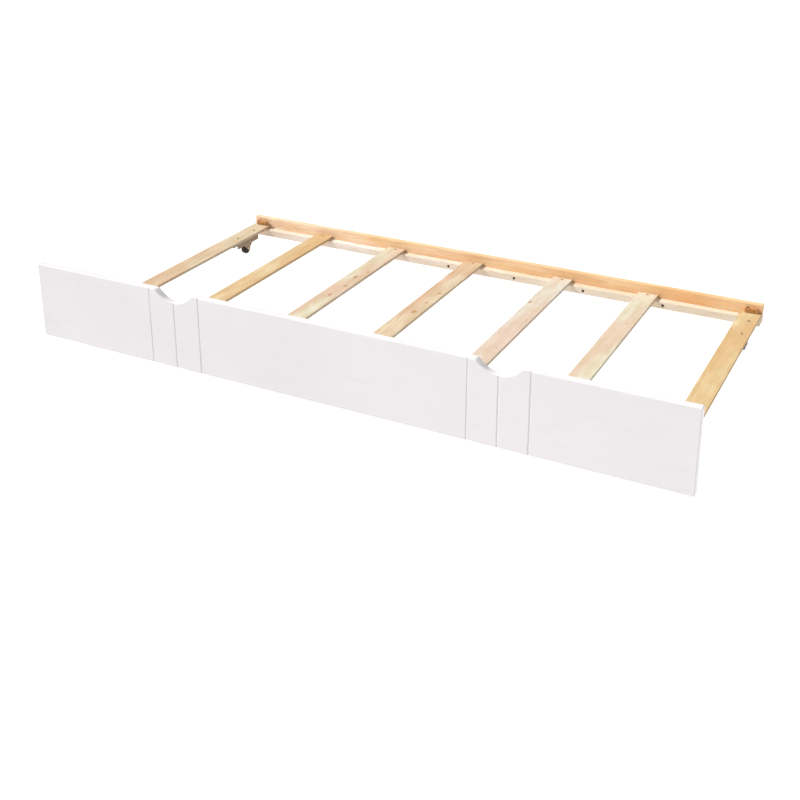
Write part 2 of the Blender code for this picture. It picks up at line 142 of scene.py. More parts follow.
NUT_SEGMENTS = 72
WHEEL_SEGMENTS = 64
WHEEL_EASE = 0.0004
RIM_THICKNESS = 0.0025
RIM_INSET = 0.0005          # from the tread's side to the rim's
WEB_RECESS = 0.003
HUB_RADIUS = 0.006
RIB_COUNT = 8
RIB_THICKNESS = 0.0014
TREAD_THICKNESS = 0.0045
TREAD_SEGMENTS = 128
TREAD_EDGE_DROP = 0.0018
TREAD_EDGE_WIDTH = 0.0035
TREAD_EDGE_STEPS = 8
SEAM_HEIGHT = 0.00015       # moulding line round the middle of the tread
SEAM_HALF_WIDTH = 0.0003

# ---- light and camera values ----

WHITE = (1.0, 1.0, 1.0, 1.0)
WORLD_STRENGTH = 0.28
FLOOR_GLOW = 0.88
FLOOR_HALF_SIZE = 40
FLOOR_DROP = 0.0002         # from the wheels to the floor
KEY_LIGHT = dict(energy=4.5, softness=9, source=(-0.77, -0.17, 0.61))       # softness is in degrees
FILL_LIGHT = dict(energy=0.95, softness=50, source=(0.78, 0.05, 0.62))
CAMERA_LENS = 53.5
CAMERA_SHIFT = -0.2
CAMERA_PLACE = (1.438, -2.899, 1.498)
CAMERA_DOWN = 20.05         # degrees below level
CAMERA_TURN = 27.24         # degrees from looking straight at the panel

# ---- how outlines are drawn and placed ----

AS_DRAWN = Matrix.Identity(4)
OUTLINE_IN_XZ = Matrix(((1, 0, 0, 0), (0, 0, 1, 0), (0, 1, 0, 0), (0, 0, 0, 1)))
OUTLINE_IN_YZ = Matrix(((0, 0, 1, 0), (1, 0, 0, 0), (0, 1, 0, 0), (0, 0, 0, 1)))
ALONG_X = Matrix.Rotation(math.radians(90), 4, "Y")
CORNERS = ((1, 1), (-1, 1), (-1, -1), (1, -1))      # of a rectangle, in the order of its outline


# ---- shader graphs ----

def srgb(red, green, blue):
    """A colour as it looks on a screen, 0 to 255 a channel, as the shader's linear value."""
    channels = [value / 255 for value in (red, green, blue)]
    linear = [c / 12.92 if c <= 0.04045 else ((c + 0.055) / 1.055) ** 2.4 for c in channels]
    return (*linear, 1.0)


class Graph:
    """One material's nodes. Each call adds a node and returns the socket that carries its result."""

    def __init__(self, name, roughness=0.5, metallic=0.0, specular=0.5, coat=0.0):
        self.material = bpy.data.materials.new(name)
        self.material.use_nodes = True
        self.tree = self.material.node_tree
        self.shader = self.tree.nodes["Principled BSDF"]
        for socket, value in (("Roughness", roughness), ("Metallic", metallic), ("Coat Weight", coat),
                              ("Specular IOR Level", specular), ("Coat Roughness", 0.3)):
            self.shader.inputs[socket].default_value = value
        coordinates = self.tree.nodes.new("ShaderNodeTexCoord")
        self.position = coordinates.outputs["Object"]
        self.normal = coordinates.outputs["Normal"]

    def feed(self, socket, value):
        if isinstance(value, bpy.types.NodeSocket):
            self.tree.links.new(value, socket)
        else:
            socket.default_value = value

    def node(self, kind, inputs, **settings):
        """Adds a node with its settings, and feeds its inputs, which go by name or by number."""
        node = self.tree.nodes.new("ShaderNode" + kind)
        for name, value in settings.items():
            setattr(node, name, value)
        for key, value in inputs.items():
            self.feed(node.inputs[key], value)
        return node

    def math(self, operation, *values):
        return self.node("Math", dict(enumerate(values)), operation=operation).outputs[0]

    def add(self, a, b):
        return self.math("ADD", a, b)

    def times(self, a, b):
        return self.math("MULTIPLY", a, b)

    def less(self, a, b):
        return self.math("SUBTRACT", a, b)

    def length(self, a, b):
        """The length of a vector with these two components."""
        squares = [self.math("POWER", self.math("ABSOLUTE", part), 2.0) for part in (a, b)]
        return self.math("SQRT", self.add(*squares))

    def split(self, vector):
        return list(self.node("SeparateXYZ", {0: vector}).outputs)

    def join(self, x, y, z):
        return self.node("CombineXYZ", {0: x, 1: y, 2: z}).outputs[0]

    def noise(self, vector, scale, detail=2.0, roughness=0.5):
        inputs = {"Vector": vector, "Scale": scale, "Detail": detail, "Roughness": roughness}
        return self.node("TexNoise", inputs).outputs[0]

    def cells(self, vector, scale):
        """A random shade for each cell, as on crystallised zinc."""
        return self.split(self.node("TexVoronoi", {"Vector": vector, "Scale": scale}).outputs["Color"])[0]

    def chance(self, value):
        """A random number from 0 to 1 for each whole value."""
        return self.node("TexWhiteNoise", {"W": value}, noise_dimensions="1D").outputs["Value"]

    def smooth(self, value, start, end, low=0.0, high=1.0):
        """Goes smoothly from low to high as value goes from start to end."""
        inputs = dict(enumerate((value, start, end, low, high)))
        return self.node("MapRange", inputs, interpolation_type="SMOOTHSTEP").outputs[0]

    def mix(self, factor, a, b):
        return self.node("Mix", {0: factor, 6: a, 7: b}, data_type="RGBA").outputs[2]

    def shade(self, colour, amount):
        """The colour times a grey amount, which may vary over the surface."""
        inputs = {0: 1.0, 6: colour, 7: amount}
        return self.node("Mix", inputs, data_type="RGBA", blend_type="MULTIPLY").outputs[2]

    def edge(self, box, width, spread):
        """1 along the edges of a box, fading to 0 at width from them, with a ragged border."""
        low, high = box
        middle, half = (low + high) / 2, (high - low) / 2
        gaps = []
        for value, centre, reach in zip(self.split(self.position), middle, half):
            gaps.append(self.less(reach, self.math("ABSOLUTE", self.less(value, centre))))
        nearest = self.math("MINIMUM", gaps[0], gaps[1])
        farther = self.math("MAXIMUM", gaps[0], gaps[1])
        second = self.math("MAXIMUM", nearest, self.math("MINIMUM", farther, gaps[2]))
        ragged = self.times(self.less(self.noise(self.position, 140, 3), 0.5), spread)
        return self.smooth(self.add(second, ragged), 0.0, width, 1.0, 0.0)

    def colour(self, value):
        self.feed(self.shader.inputs["Base Color"], value)

    def roughness(self, value):
        self.feed(self.shader.inputs["Roughness"], value)

    def bump(self, height, distance, strength=1.0):
        inputs = {"Strength": strength, "Distance": distance, "Height": height}
        self.feed(self.shader.inputs["Normal"], self.node("Bump", inputs).outputs[0])


# ---- pine ----

PITH_WANDER = 0.03          # how far the rings' centre strays across the board
RING_WARP = 0.007           # how far a ring strays from round
KNOT_STRETCH = 0.62         # a knot is longer along the grain
KNOT_REACH = 3.6            # how far the rings bend round a knot, in knot radii
KNOT_RINGS = 3.5            # rings in a knot
KNOT_STRENGTH = 0.65
FAR_COLOUR_SPAN = 0.8       # how much of the board's length the change of colour takes
EDGE_WEAR = 0.0022
# How far the end grain is darkened: partly its own darker colour, partly painted shade on the board ends.
END_GRAIN_AND_SHADE = 0.5


def pine_knots(graph, along, across, distance, knots):
    """Bends the rings round each knot. Returns the distances, where knots are, and the knots' own rings."""
    mask = 0.0
    own_rings = 0.0
    for k_along, k_across, radius in knots:
        off_along = graph.times(graph.less(along, k_along), KNOT_STRETCH)
        reach = graph.length(off_along, graph.less(across, k_across))
        wobble = graph.times(graph.less(graph.noise(graph.position, 150, 2), 0.5), 0.5 * radius)
        reach = graph.add(reach, wobble)
        swelling = graph.smooth(reach, 0.5 * radius, KNOT_REACH * radius, 2.0 * radius, 0.0)
        distance = graph.add(distance, swelling)
        core = graph.smooth(reach, 0.75 * radius, 1.1 * radius, 1.0, 0.0)
        rings = graph.math("FRACT", graph.times(reach, KNOT_RINGS / radius))
        own_rings = graph.math("MAXIMUM", own_rings, graph.times(core, rings))
        mask = graph.math("MAXIMUM", mask, core)
    return distance, mask, own_rings


def pine(name, box, order, early, late, blush, seed, pith, far=None, lean=0.0, spacing=0.0028, taper=2.0,
         knots=(), contrast=0.7, roughness=0.52, coat=0.0, side_shade=1.0):
    """Solid pine: growth rings about a wandering pith, swollen round the knots, with fibres and resin.

    order is the box's axes along the grain, across the board and through it. pith is how far the rings'
    centre lies from the board's middle, across and through. A knot is its place along and across the
    board and its radius. The earlywood goes from early at the board's start to far at its end, and the
    last argument is painted shade: how far the board's narrow sides are darkened, as though they faced away
    from the light.
    """
    low, high = box
    graph = Graph(name, roughness=roughness, specular=0.35, coat=coat)
    axes = graph.split(graph.position)
    middle = (low + high) / 2
    along, across, through = (graph.less(axes[axis], middle[axis]) for axis in order)

    def streaks(lengthwise, sideways, detail, uneven=0.5, shift=(0.0, 0.0)):
        """Noise drawn out along the grain: its scales along and across, and its shift along and across."""
        place = graph.join(graph.add(graph.times(along, lengthwise), shift[0]),
                           graph.add(graph.times(across, sideways), shift[1]),
                           graph.times(through, sideways))
        return graph.noise(place, 1.0, detail, uneven)

    # How far each point is from the pith, and so which ring it is in and where in that ring.
    slow = graph.noise(graph.join(graph.times(along, 1.6), seed, 0.0), 1.0, 1)
    centre_across = graph.add(graph.add(pith[0], graph.times(along, lean)), graph.times(slow, PITH_WANDER))
    distance = graph.length(graph.less(across, centre_across), graph.less(through, pith[1]))
    warp = streaks(5.0, 24.0, 3, shift=(seed, 0.0))
    distance = graph.add(distance, graph.times(graph.less(warp, 0.5), RING_WARP))
    distance, knot_mask, knot_rings = pine_knots(graph, along, across, distance, knots)
    ring = graph.add(graph.times(distance, 1 / spacing), graph.times(along, taper))
    phase = graph.math("FRACT", ring)
    strength = graph.chance(graph.add(graph.math("FLOOR", ring), seed))
    strength = graph.add(0.4 * contrast, graph.times(strength, 0.6 * contrast))
    rise = graph.smooth(phase, 0.25, 0.90)
    fall = graph.smooth(phase, 0.93, 1.0, 1.0, 0.0)
    latewood = graph.times(graph.times(rise, fall), strength)

    # Broad patches of colour, then the rings, then streaks, fibres and resin canals.
    if far:
        span = FAR_COLOUR_SPAN * (high - low)[order[0]] / 2
        early = graph.mix(graph.smooth(along, -span, span), early, far)
    broad = streaks(2.6, 14.0, 2, shift=(seed, 0.0))
    wood = graph.mix(graph.smooth(broad, 0.40, 0.60), early, blush)
    wood = graph.mix(latewood, wood, late)
    mottle = streaks(11.0, 40.0, 3, 0.6, shift=(0.0, seed))
    wood = graph.mix(graph.smooth(mottle, 0.38, 0.64, 0.0, 0.65 * contrast), wood, late)
    fibre = streaks(16.0, 820.0, 3, 0.6)
    wood = graph.shade(wood, graph.smooth(fibre, 0.25, 0.75, 0.93, 1.04))
    canal = streaks(48.0, 1300.0, 1)
    wood = graph.shade(wood, graph.smooth(canal, 0.68, 0.76, 1.0, 0.86))

    # Knots, painted shade on the narrow sides, end grain darker in its own colour and as painted shade, and
    # handled arrises.
    knot_colour = graph.mix(knot_rings, srgb(198, 146, 98), srgb(146, 92, 54))
    wood = graph.mix(graph.times(knot_mask, KNOT_STRENGTH), wood, knot_colour)
    turned = [graph.math("ABSOLUTE", component) for component in graph.split(graph.normal)]
    # Painted shade: the narrow sides are darkened, as though they faced away from the light.
    wood = graph.shade(wood, graph.smooth(turned[order[1]], 0.55, 0.8, 1.0, side_shade))
    # End grain is darker in its own colour; it is darkened further here as painted shade on the board ends.
    end_grain = graph.smooth(turned[order[0]], 0.55, 0.8)
    wood = graph.mix(graph.times(end_grain, END_GRAIN_AND_SHADE), wood, srgb(172, 142, 104))
    arris = graph.edge(box, EDGE_WEAR, EDGE_WEAR)
    wood = graph.shade(wood, graph.smooth(arris, 0.0, 1.0, 1.0, 0.90))
    graph.colour(wood)

    gloss = graph.add(graph.times(fibre, 0.16), roughness - 0.08)
    graph.roughness(graph.less(gloss, graph.times(graph.add(latewood, knot_mask), 0.07)))
    relief = graph.add(graph.times(latewood, 0.45), graph.times(fibre, 0.55))
    relief = graph.times(relief, graph.smooth(end_grain, 0.0, 1.0, 1.0, 0.2))
    graph.bump(graph.less(relief, graph.times(arris, 0.25)), 0.00025, 0.5)
    return graph.material


# ---- the other finishes ----

def satin_paint(name, box):
    """Sprayed satin white over board: a slight roller texture, faint smudges and warmer, thinner edges."""
    graph = Graph(name, roughness=0.38, specular=0.4, coat=0.08)
    cloud = graph.noise(graph.position, 2.4, 3)
    base = graph.mix(graph.smooth(cloud, 0.35, 0.65), srgb(231, 227, 229), srgb(235, 231, 233))
    x, y, z = graph.split(graph.position)
    smear = graph.noise(graph.join(graph.times(x, 9.0), y, graph.times(z, 46.0)), 1.0, 4, 0.65)
    base = graph.shade(base, graph.smooth(smear, 0.56, 0.74, 1.0, 0.965))
    edge = graph.edge(box, 0.0035, 0.005)
    base = graph.mix(graph.times(edge, 0.30), base, srgb(228, 221, 212))
    graph.colour(base)
    graph.roughness(graph.smooth(smear, 0.35, 0.75, 0.34, 0.50))
    peel = graph.noise(graph.position, 420, 2)
    brush = graph.noise(graph.join(graph.times(x, 14.0), y, graph.times(z, 900.0)), 1.0, 2)
    graph.bump(graph.add(graph.times(peel, 0.7), graph.times(brush, 0.3)), 0.00009, 0.6)
    return graph.material


def metal(name, colour, tarnish, roughness, spangle=0.0):
    """Plated or enamelled steel: cloudy tarnish, a fine grain and, if asked for, crystals."""
    graph = Graph(name, roughness=roughness, metallic=1.0)
    cloud = graph.noise(graph.position, 95, 4, 0.6)
    shown = graph.mix(graph.smooth(cloud, 0.34, 0.74), colour, tarnish)
    crystals = graph.cells(graph.position, 260)
    shown = graph.shade(shown, graph.smooth(crystals, 0.0, 1.0, 1.0 - spangle, 1.0))
    graph.colour(shown)
    fine = graph.noise(graph.position, 900, 2)
    uneven = graph.add(graph.times(cloud, 0.22), graph.times(fine, 0.12))
    graph.roughness(graph.add(uneven, roughness - 0.17))
    graph.bump(graph.add(fine, graph.times(crystals, spangle)), 0.00005, 0.6)
    return graph.material


def plastic(name, colour, worn, roughness):
    """Moulded plastic: spark-eroded grain and broad, paler flow marks."""
    graph = Graph(name, roughness=roughness, specular=0.45)
    flow = graph.noise(graph.position, 60, 3)
    graph.colour(graph.mix(graph.smooth(flow, 0.40, 0.75), colour, worn))
    fine = graph.noise(graph.position, 1500, 2)
    graph.roughness(graph.add(graph.times(flow, 0.2), roughness - 0.1))
    graph.bump(graph.add(fine, graph.times(flow, 0.5)), 0.00006, 0.8)
    return graph.material


def rubber(name, radius):
    """Black rubber, greyed with floor dust where it runs."""
    graph = Graph(name, roughness=0.78, specular=0.3)
    _, y, z = graph.split(graph.position)
    running = graph.smooth(graph.length(y, z), 0.90 * radius, 0.99 * radius)
    patches = graph.smooth(graph.noise(graph.position, 210, 4, 0.65), 0.35, 0.70)
    dust = graph.times(running, graph.add(0.25, graph.times(patches, 0.6)))
    graph.colour(graph.mix(dust, srgb(26, 25, 25), srgb(62, 59, 56)))
    graph.roughness(graph.add(0.66, graph.times(patches, 0.18)))
    graph.bump(graph.noise(graph.position, 1900, 2), 0.00008, 0.8)
    return graph.material


def pale_floor():
    """A white floor that glows a little, like a light table, so that shadows on it stay faint."""
    graph = Graph("pale_floor", roughness=0.8, specular=0.2)
    cloud = graph.noise(graph.position, 0.8, 2)
    graph.colour(graph.mix(cloud, srgb(136, 136, 135), srgb(140, 140, 140)))
    graph.shader.inputs["Emission Color"].default_value = WHITE
    graph.shader.inputs["Emission Strength"].default_value = FLOOR_GLOW
    return graph.material


# ---- bmesh shapes ----

def prism_bmesh(outline, depth, matrix=AS_DRAWN):
    """Extrudes an outline of (x, y) points from z = 0 to z = depth."""
    bm = bmesh.new()
    face = bm.faces.new([bm.verts.new((x, y, 0)) for x, y in outline])
    extruded = bmesh.ops.extrude_face_region(bm, geom=[face])["geom"]
    moved = [item for item in extruded if isinstance(item, bmesh.types.BMVert)]
    bmesh.ops.translate(bm, vec=(0, 0, depth), verts=moved)
    bm.transform(matrix)
    return bm


def close_rings(bm, rings):
    """Faces between rings of four vertices, and over the first and the last ring."""
    bm.faces.new(rings[0])
    bm.faces.new(rings[-1][::-1])
    for first, second in zip(rings, rings[1:]):
        for step in range(4):
            following = (step + 1) % 4
            bm.faces.new([first[step], second[step], second[following], first[following]])


def turned_bmesh(profile, segments, matrix=AS_DRAWN):
    """Turns a profile of (radius, height) points about Z: a solid if it starts on the axis, else a ring."""
    solid = profile[0][0] == 0
    bm = bmesh.new()
    rings = []
    for radius, height in profile:
        if radius == 0:
            rings.append([bm.verts.new((0, 0, height))] * segments)
            continue
        angles = [2 * math.pi * step / segments for step in range(segments)]
        rings.append([bm.verts.new((radius * math.cos(a), radius * math.sin(a), height)) for a in angles])
    pairs = list(zip(rings, rings[1:]))
    if not solid:
        pairs.append((rings[-1], rings[0]))
    for upper, lower in pairs:
        for step in range(segments):
            following = (step + 1) % segments
            corners = [upper[step], lower[step], lower[following], upper[following]]
            bm.faces.new(list(dict.fromkeys(corners)))
    bm.transform(matrix)
    return bm


def bore_bmesh(radius, reach, segments, matrix):
    """The space of a straight round hole about Z, as far up as down."""
    return turned_bmesh([(0, reach), (radius, reach), (radius, -reach), (0, -reach)], segments, matrix)


def gather(bmeshes):
    """Joins several bmeshes into one."""
    joined = bmesh.new()
    for bm in bmeshes:
        mesh = bpy.data.meshes.new("gathered")
        bm.to_mesh(mesh)
        bm.free()
        joined.from_mesh(mesh)
        bpy.data.meshes.remove(mesh)
    return joined


def arc(centre, radius, start_degrees, end_degrees, steps):
    points = []
    for step in range(steps + 1):
        angle = math.radians(start_degrees + (end_degrees - start_degrees) * step / steps)
        points.append((centre[0] + radius * math.cos(angle), centre[1] + radius * math.sin(angle)))
    return points


def rounded(corners, steps=6):
    """An outline whose (x, y, radius) corners are rounded off; a radius of 0 keeps a corner sharp."""
    points = []
    for index, (x, y, radius) in enumerate(corners):
        corner = Vector((x, y))
        before = Vector(corners[index - 1][:2]) - corner
        after = Vector(corners[(index + 1) % len(corners)][:2]) - corner
        if radius == 0:
            points.append((x, y))
            continue
        half_angle = before.angle(after) / 2
        tangent = radius / math.tan(half_angle)
        start = corner + before.normalized() * tangent
        end = corner + after.normalized() * tangent
        bisector = (before.normalized() + after.normalized()).normalized()
        centre = corner + bisector * (radius / math.sin(half_angle))
        for step in range(steps + 1):
            direction = (start - centre).slerp(end - centre, step / steps)
            points.append(tuple(centre + direction.normalized() * radius))
    return points


def mirrored(half_profile):
    """A profile that starts above z = 0, followed by its own mirror image below."""
    return half_profile + [(radius, -height) for radius, height in reversed(half_profile)]


def dome(radius, side, height, steps=7):
    """The profile of a low round head: its crown from the middle out, then down its side to z = 0."""
    angles = [math.radians(90) * (1 - step / steps) for step in range(1, steps + 1)]
    crown = [(radius * math.cos(a), side + (height - side) * math.sin(a)) for a in angles]
    return [(0, height), *crown, (radius, 0)]


def thread(crest, root, pitch, start, end):
    """A profile of thread ridges that runs down from one height to another."""
    turns = round((start - end) / pitch)
    points = [(root, start)]
    for turn in range(turns):
        top = start - turn * pitch
        points.append((crest, top - pitch / 2))
        points.append((root, top - pitch))
    return points


# ---- objects ----

def settle(obj):
    """Turns what the object's modifiers make into its own mesh."""
    evaluated = obj.evaluated_get(bpy.context.evaluated_depsgraph_get())
    settled = bpy.data.meshes.new_from_object(evaluated)
    old = obj.data
    obj.modifiers.clear()
    obj.data = settled
    bpy.data.meshes.remove(old)


def add_object(name, data):
    obj = bpy.data.objects.new(name, data)
    bpy.context.scene.collection.objects.link(obj)
    return obj


def make_object(name, bm, finish=None):
    bmesh.ops.recalc_face_normals(bm, faces=bm.faces)
    mesh = bpy.data.meshes.new(name)
    bm.to_mesh(mesh)
    bm.free()
    if finish:
        mesh.materials.append(finish)
    return add_object(name, mesh)


def carve(obj, cutter, operation="DIFFERENCE"):
    """Cuts a bmesh out of an object. INTERSECT keeps only what the two share, and UNION joins them."""
    tool = make_object("cutter", cutter)
    modifier = obj.modifiers.new("carve", "BOOLEAN")
    modifier.operation = operation
    modifier.solver = "EXACT"
    modifier.object = tool
    settle(obj)
    tool_mesh = tool.data
    bpy.data.objects.remove(tool, do_unlink=True)
    bpy.data.meshes.remove(tool_mesh)


def ease(obj, width, segments):
    """Rounds an object's sharp edges."""
    modifier = obj.modifiers.new("eased_edges", "BEVEL")
    modifier.width = width
    modifier.segments = segments
    modifier.limit_method = "ANGLE"
    modifier.angle_limit = math.radians(40)
    settle(obj)


def smooth_shading(obj, sharp_degrees=38):
    """Smooth shading that keeps large faces flat and sharp edges sharp."""
    obj.data.shade_smooth()
    obj.data.set_sharp_from_angle(angle=math.radians(sharp_degrees))
    modifier = obj.modifiers.new("weighted", "WEIGHTED_NORMAL")
    modifier.keep_sharp = True
    settle(obj)


def install(obj, node):
    """The piece stands for a CAD node, on that node's body."""
    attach(obj, frame["nodes"][node]["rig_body"])
    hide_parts(node)


def copy_at(source, name, place):
    """Another object with the same mesh, at a placement."""
    made = add_object(name, source.data)
    made.matrix_world = place
    return made


# ---- fasteners ----

def facing(position, direction):
    """A placement at a point, with local +Z turned along a direction."""
    turn = Vector(direction).to_track_quat("Z", "Y").to_matrix().to_4x4()
    return Matrix.Translation(position) @ turn


def cross_recess(reach, width, depth, top):
    """The two tapered slots of a cross recess, sunk from a height."""
    slots = []
    for quarter in (0, 90):
        bm = bmesh.new()
        rings = []
        for scale, height in ((1.15, top + depth * 0.15), (0.42, top - depth)):
            x, y = reach * scale, width * (0.55 + 0.45 * scale) / 2
            rings.append([bm.verts.new((a * x, b * y, height)) for a, b in CORNERS])
        close_rings(bm, rings)
        bm.transform(Matrix.Rotation(math.radians(quarter), 4, "Z"))
        slots.append(bm)
    return slots


def countersunk_screw(name, length, finish):
    """A cross-recessed wood screw: its head's top is at z = 0 and its point at z = -length."""
    neck = -SCREW_HEAD_HEIGHT
    point = -length + 2 * SCREW_THREAD_RADIUS
    profile = [
        (0, 0), (SCREW_HEAD_RADIUS * SCREW_HEAD_FLAT, 0),
        (SCREW_HEAD_RADIUS, -SCREW_RIM / 2), (SCREW_HEAD_RADIUS, -SCREW_RIM),
        (SCREW_THREAD_RADIUS, neck), (SCREW_THREAD_RADIUS, neck - SCREW_PITCH),
        *thread(SCREW_THREAD_RADIUS, SCREW_CORE_RADIUS, SCREW_PITCH, neck - 2 * SCREW_PITCH, point),
        (0, -length),
    ]
    obj = make_object(name, turned_bmesh(profile, SCREW_SEGMENTS), finish)
    for slot in cross_recess(top=0.0, **SCREW_RECESS):
        carve(obj, slot)
    smooth_shading(obj)
    return obj


def screw_hole(place, length):
    """The space a countersunk screw needs, open above its head."""
    wide = SCREW_HEAD_RADIUS + 2 * CLEARANCE
    narrow = SCREW_THREAD_RADIUS + CLEARANCE
    deep = -length - 2 * CLEARANCE
    above = 4 * CLEARANCE
    profile = [(0, above), (wide, above), (wide, -CLEARANCE), (narrow, -SCREW_HEAD_HEIGHT - CLEARANCE),
               (narrow, deep), (0, deep)]
    return turned_bmesh(profile, SCREW_SEGMENTS, place)


def node_screw(node, axis, sense, pieces, slot):
    """What screw_places lists for a screw that is a CAD node, with its head towards a side of its box."""
    low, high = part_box(node)
    index = "XYZ".index(axis)
    head, direction = (low + high) / 2, Vector()
    head[index] = high[index] if sense > 0 else low[index]
    direction[index] = sense
    return node, facing(head, direction), high[index] - low[index], pieces, slot


def screw_places():
    """Each screw's name, the placement of its head, its length, the pieces it goes through and its slot.

    A screw that is a CAD node is where that node is. The cleats' screws have no node: they sit in their
    holes in a row along each cleat.
    """
    screws = []
    for side, inward in SIDES.items():
        backing = "front_panel" if side == "front" else "rear_rail"
        cleat = f"{side}_cleat"
        for number in MIDDLE_SLATS:
            node = f"slat_screw_{side}_{number}"
            screws.append(node_screw(node, "Z", 1, [f"slat_{number}", cleat], "brass_screw"))
        for end, slat in END_SLATS.items():
            tag = f"{side}_{end}"
            block = f"corner_block_{tag}"
            down, back = f"corner_screw_down_{tag}", f"corner_screw_back_{tag}"
            screws.append(node_screw(down, "Z", 1, [block, slat, cleat], "dark_screw"))
            screws.append(node_screw(back, "Y", inward, [block, backing], "brass_screw"))
        low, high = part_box(cleat)
        y = high.y if inward > 0 else low.y
        for number, x in enumerate(CLEAT_SCREW_PLACES, start=1):
            place = facing((x, y - inward * CLEARANCE, (low.z + high.z) / 2), (0, inward, 0))
            length = (high.y - low.y) + SCREW_GRIP
            screws.append((f"cleat_screw_{side}_{number}", place, length, [cleat, backing], "dark_screw"))
    return screws


def build_screws(screws, finishes):
    """Every screw, sharing one mesh for each length and finish, each turned a different way."""
    patterns = {}
    for index, (name, place, length, _, slot) in enumerate(screws):
        key = (round(length, 4), slot)
        if key not in patterns:
            patterns[key] = countersunk_screw(f"pattern_{slot}_{len(patterns)}", length, finishes[slot])
        turn = Matrix.Rotation(math.radians(37 * index % 90), 4, "Z")
        is_node = name in frame["nodes"]
        obj = copy_at(patterns[key], f"{name}_detailed" if is_node else name, place @ turn)
        if is_node:
            install(obj, name)
        else:
            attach(obj, "frame")
    for pattern in patterns.values():
        bpy.data.objects.remove(pattern, do_unlink=True)


# ---- wooden pieces ----

def board_bmesh(box, order, arris, pieces, seed):
    """A board off the saw: rounded arrises, and faces that stray slightly inwards from true along the grain.
    """
    low, high = box
    along, across, through = order
    middle, half = (low + high) / 2, (high - low) / 2
    bm = bmesh.new()
    rings = []
    for step in range(pieces + 1):
        ring = []
        for a, b in CORNERS:
            point = Vector()
            point[along] = half[along] * (2 * step / pieces - 1)
            point[across] = half[across] * a
            point[through] = half[through] * b
            ring.append(bm.verts.new(point))
        rings.append(ring)
    close_rings(bm, rings)
    bmesh.ops.recalc_face_normals(bm, faces=bm.faces)
    sharp = [edge for edge in bm.edges if edge.calc_face_angle() > math.radians(30)]
    bmesh.ops.bevel(bm, geom=sharp, offset=arris, segments=4, profile=0.5, affect="EDGES")
    for vert in bm.verts:
        for axis, other in ((across, through), (through, across)):
            side = math.copysign(1, vert.co[axis])
            sway = noise.noise(Vector((vert.co[along] * 3.1, side * 3.7 + seed, other * 5.3)))
            vert.co[axis] -= side * BOARD_WAVE * (0.5 + 0.5 * sway)
        vert.co += middle
    return bm


def notch_outline(centre, top):
    """One finger notch in the panel's top edge: two shoulders that run into a round bottom."""
    slope = 2 * math.atan2(NOTCH_DEPTH, NOTCH_WIDTH / 2)
    bottom_radius = NOTCH_WIDTH / 2 / math.sin(slope) - NOTCH_SHOULDER_RADIUS
    turn = math.degrees(slope)
    shoulder = top - NOTCH_SHOULDER_RADIUS
    left = (centre - NOTCH_WIDTH / 2, shoulder)
    right = (centre + NOTCH_WIDTH / 2, shoulder)
    bottom = (centre, top - NOTCH_DEPTH + bottom_radius)
    return (
        arc(left, NOTCH_SHOULDER_RADIUS, 90, 90 - turn, 12)
        + arc(bottom, bottom_radius, 270 - turn, 270 + turn, 48)[1:-1]
        + arc(right, NOTCH_SHOULDER_RADIUS, 90 + turn, 90, 12)
    )


def groove_depth(offset):
    """How deep a groove is at a distance from its middle: a V with soft lips and a soft bottom."""
    slope = GROOVE_DEPTH / GROOVE_HALF_WIDTH
    if offset < GROOVE_LIP:
        return GROOVE_DEPTH - slope * (offset ** 2 + GROOVE_LIP ** 2) / (2 * GROOVE_LIP)
    past_lip = GROOVE_HALF_WIDTH + GROOVE_LIP - offset
    if past_lip < 2 * GROOVE_LIP:
        return slope * past_lip ** 2 / (4 * GROOVE_LIP)
    return GROOVE_DEPTH - slope * offset


def groove_bmesh(x, box):
    """The space of one full-height groove in the panel's front face."""
    low, high = box
    spare = 0.001           # how far the cut starts outside the panel
    widest = GROOVE_HALF_WIDTH + 0.8 * GROOVE_LIP
    offsets = [widest * (step / GROOVE_STEPS - 1) for step in range(2 * GROOVE_STEPS + 1)]
    outline = [(x - widest, low.y - spare)]
    outline += [(x + offset, low.y + groove_depth(abs(offset))) for offset in offsets]
    outline += [(x + widest, low.y - spare)]
    return prism_bmesh(outline, high.z - low.z + 2 * spare, Matrix.Translation((0, 0, low.z - spare)))


def build_panel(holes, finish):
    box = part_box("front_panel")
    low, high = box
    outline = (
        [(low.x, low.z), (low.x, high.z)]
        + notch_outline(-NOTCH_OFFSET, high.z)
        + notch_outline(NOTCH_OFFSET, high.z)
        + [(high.x, high.z), (high.x, low.z)]
    )
    bm = prism_bmesh(outline, high.y - low.y, Matrix.Translation((0, low.y, 0)) @ OUTLINE_IN_XZ)
    panel = make_object("front_panel_detailed", bm, finish)
    ease(panel, PANEL_EASE, 6)
    grooves = [
        groove_bmesh(notch + offset, box)
        for notch in (-NOTCH_OFFSET, NOTCH_OFFSET)
        for offset in (-GROOVE_OFFSET, 0, GROOVE_OFFSET)
    ]
    carve(panel, gather(grooves))
    carve(panel, gather(holes))
    smooth_shading(panel)
    install(panel, "front_panel")


def build_board(node, order, finish, holes, pieces, seed, arris=ARRIS):
    """A board or a block with eased edges and its countersunk holes."""
    obj = make_object(f"{node}_detailed", board_bmesh(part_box(node), order, arris, pieces, seed), finish)
    carve(obj, gather(holes))
    smooth_shading(obj)
    install(obj, node)


# ---- casters, each built about its axle's centre ----

